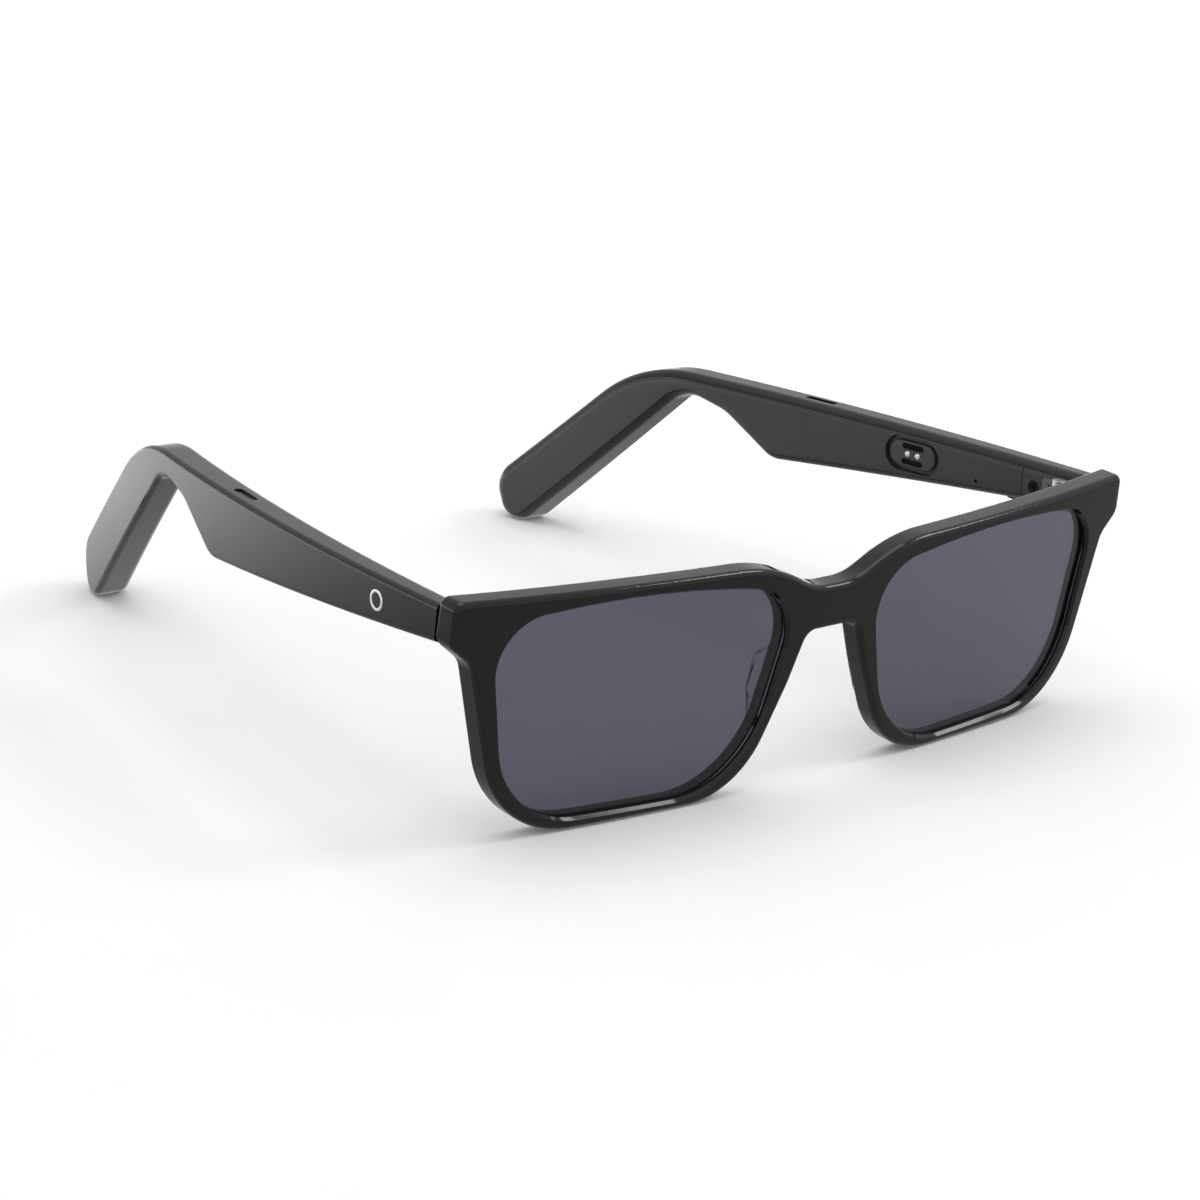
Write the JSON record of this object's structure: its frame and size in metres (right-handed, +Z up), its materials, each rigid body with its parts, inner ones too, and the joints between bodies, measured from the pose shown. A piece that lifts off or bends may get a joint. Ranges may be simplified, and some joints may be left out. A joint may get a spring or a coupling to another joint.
{
  "type": "smart glasses",
  "caption": "Folding audio sunglasses: square full-rim front with tinted lenses, and thick hollow temples with charging contacts, sound slots and underside buttons.",
  "frame": {"origin": "on the surface that the open glasses stand on, under the middle of their box", "axes": "+X towards the wearer's left, -Y out of the lenses, +Z up; the temple beams fall 0.985 degrees towards the back"},
  "size_m": [0.1464, 0.1384, 0.0401],
  "materials": {
    "front_acetate": "deep black acetate, polished",
    "lens_tint": "violet-grey tint",
    "pad_silicone": "clear silicone",
    "hinge_steel": "bright nickel",
    "screw_black": "black zinc",
    "temple_gloss": "black, lightly polished",
    "cover_satin": "black, satin",
    "port_satin": "black, satin",
    "magnet_black": "black coated",
    "contact_plate": "bright plated",
    "device_metal": "stamped cans",
    "flex_amber": "polyimide film",
    "board_green": "solder mask",
    "driver_black": "moulded",
    "battery_foil": "laminated foil",
    "grille_mesh": "dark perforated sheet",
    "vent_satin": "black, satin",
    "button_gloss": "black, polished"
  },
  "bodies": {
    "front": {"front_frame": "front_acetate", "lens_left": "lens_tint", "lens_right": "lens_tint", "nose_pad_left": "pad_silicone", "nose_pad_right": "pad_silicone", "hinge_front_leaf_left": "hinge_steel", "hinge_front_leaf_right": "hinge_steel", "hinge_front_screws_left": "hinge_steel", "hinge_front_screws_right": "hinge_steel", "hinge_pin_left": "hinge_steel", "hinge_pin_right": "hinge_steel"},
    "temple_left": {"temple_shell_left": "temple_gloss", "temple_cover_left": "cover_satin", "hinge_block_left": "cover_satin", "hinge_temple_leaf_left": "hinge_steel", "hinge_leaf_rivets_left": "hinge_steel", "block_screw_left": "screw_black", "charge_port_left": "port_satin", "charge_magnets_left": "magnet_black", "charge_pins_left": "contact_plate", "microphone_left": "device_metal", "touch_sensor_left": "flex_amber", "circuit_board_left": "board_green", "speaker_driver_left": "driver_black", "battery_left": "battery_foil", "flex_cable_left": "flex_amber", "speaker_grille_left": "grille_mesh", "rear_vent_left": "vent_satin", "emblem_left": "contact_plate", "button_switch_left": "device_metal"},
    "button_left": {"action_button_left": "button_gloss"},
    "temple_right": {"temple_shell_right": "temple_gloss", "temple_cover_right": "cover_satin", "hinge_block_right": "cover_satin", "hinge_temple_leaf_right": "hinge_steel", "hinge_leaf_rivets_right": "hinge_steel", "block_screw_right": "screw_black", "charge_port_right": "port_satin", "charge_magnets_right": "magnet_black", "charge_pins_right": "contact_plate", "microphone_right": "device_metal", "touch_sensor_right": "flex_amber", "circuit_board_right": "board_green", "speaker_driver_right": "driver_black", "battery_right": "battery_foil", "flex_cable_right": "flex_amber", "speaker_grille_right": "grille_mesh", "rear_vent_right": "vent_satin", "emblem_right": "contact_plate", "button_switch_right": "device_metal"},
    "button_right": {"action_button_right": "button_gloss"}
  },
  "joints": [
    {"name": "temple_hinge_left", "type": "hinge", "parent": "front", "child": "temple_left", "pos_m": [0.0669, -0.05451, 0.03494], "axis": [0, 0.0172, 0.9999], "range_deg": [0, 79]},
    {"name": "temple_hinge_right", "type": "hinge", "parent": "front", "child": "temple_right", "pos_m": [-0.0669, -0.05451, 0.03494], "axis": [0, -0.0172, -0.9999], "range_deg": [0, 65]},
    {"name": "button_press_left", "type": "slide", "parent": "temple_left", "child": "button_left", "axis": [0, 0.0172, 0.9999], "range_m": [0, 0.00035], "stiffness_N_per_m": 400},
    {"name": "button_press_right", "type": "slide", "parent": "temple_right", "child": "button_right", "axis": [0, 0.0172, 0.9999], "range_m": [0, 0.00035], "stiffness_N_per_m": 400}
  ]
}
